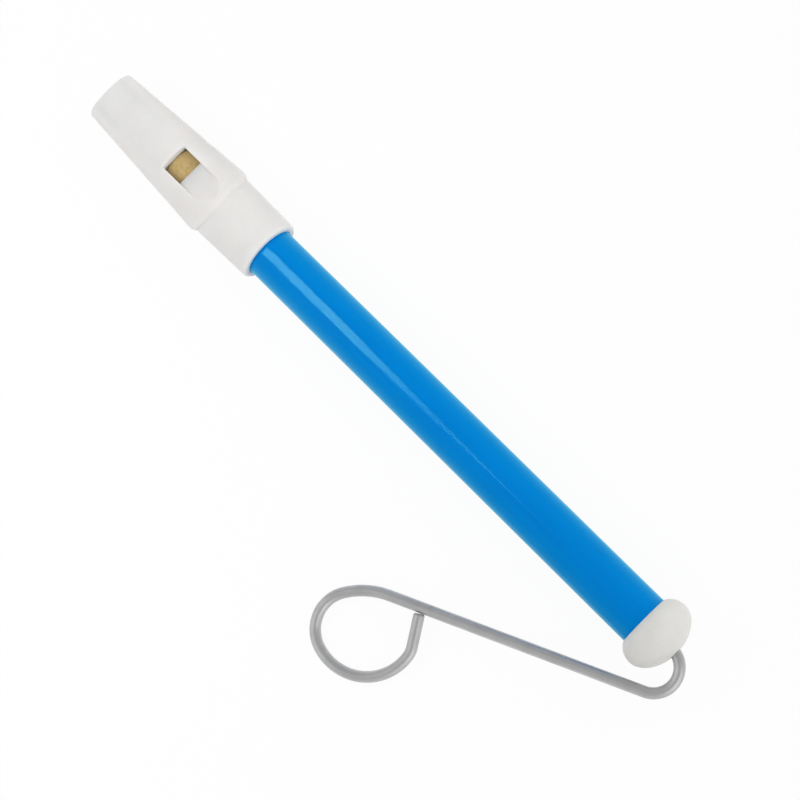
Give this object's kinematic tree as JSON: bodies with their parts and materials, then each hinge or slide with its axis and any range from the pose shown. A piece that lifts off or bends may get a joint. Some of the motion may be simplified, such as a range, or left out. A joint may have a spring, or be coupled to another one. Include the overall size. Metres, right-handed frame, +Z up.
{
  "type": "slide whistle",
  "caption": "Slide whistle: a moulded whistle head on a straight tube, and a felt piston drawn by a bent wire that ends in a finger ring.",
  "frame": {"origin": "on the tube's axis, in the plane of the beak's tip", "axes": "+X along the tube from the beak to the cap, the way the slide pulls out; +Z up through the sound window; the finger ring on the -Y side"},
  "size_m": [0.2287, 0.0807, 0.021],
  "materials": {
    "white_plastic": "moulded, satin gloss, warm white",
    "block_plastic": "moulded, satin",
    "blue_tube": "extruded, glossy blue",
    "steel_wire": "drawn wire, satin",
    "felt": "pressed felt, tan",
    "washer_steel": "zinc plated"
  },
  "bodies": {
    "whistle": {"mouthpiece": "white_plastic", "windway_block": "block_plastic", "tube": "blue_tube", "end_cap": "white_plastic"},
    "piston": {"piston_seal": "felt", "front_washer": "washer_steel", "rear_washer": "washer_steel"},
    "rod": {"slide_rod": "steel_wire", "stop_collar": "washer_steel"}
  },
  "joints": [
    {"name": "slide", "type": "slide", "parent": "whistle", "child": "piston", "axis": [1, 0, 0], "range_m": [0, 0.1627]},
    {"name": "rod_turn", "type": "hinge", "parent": "piston", "child": "rod", "pos_m": [0.1, 0, 0], "axis": [1, 0, 0], "continuous": true}
  ]
}
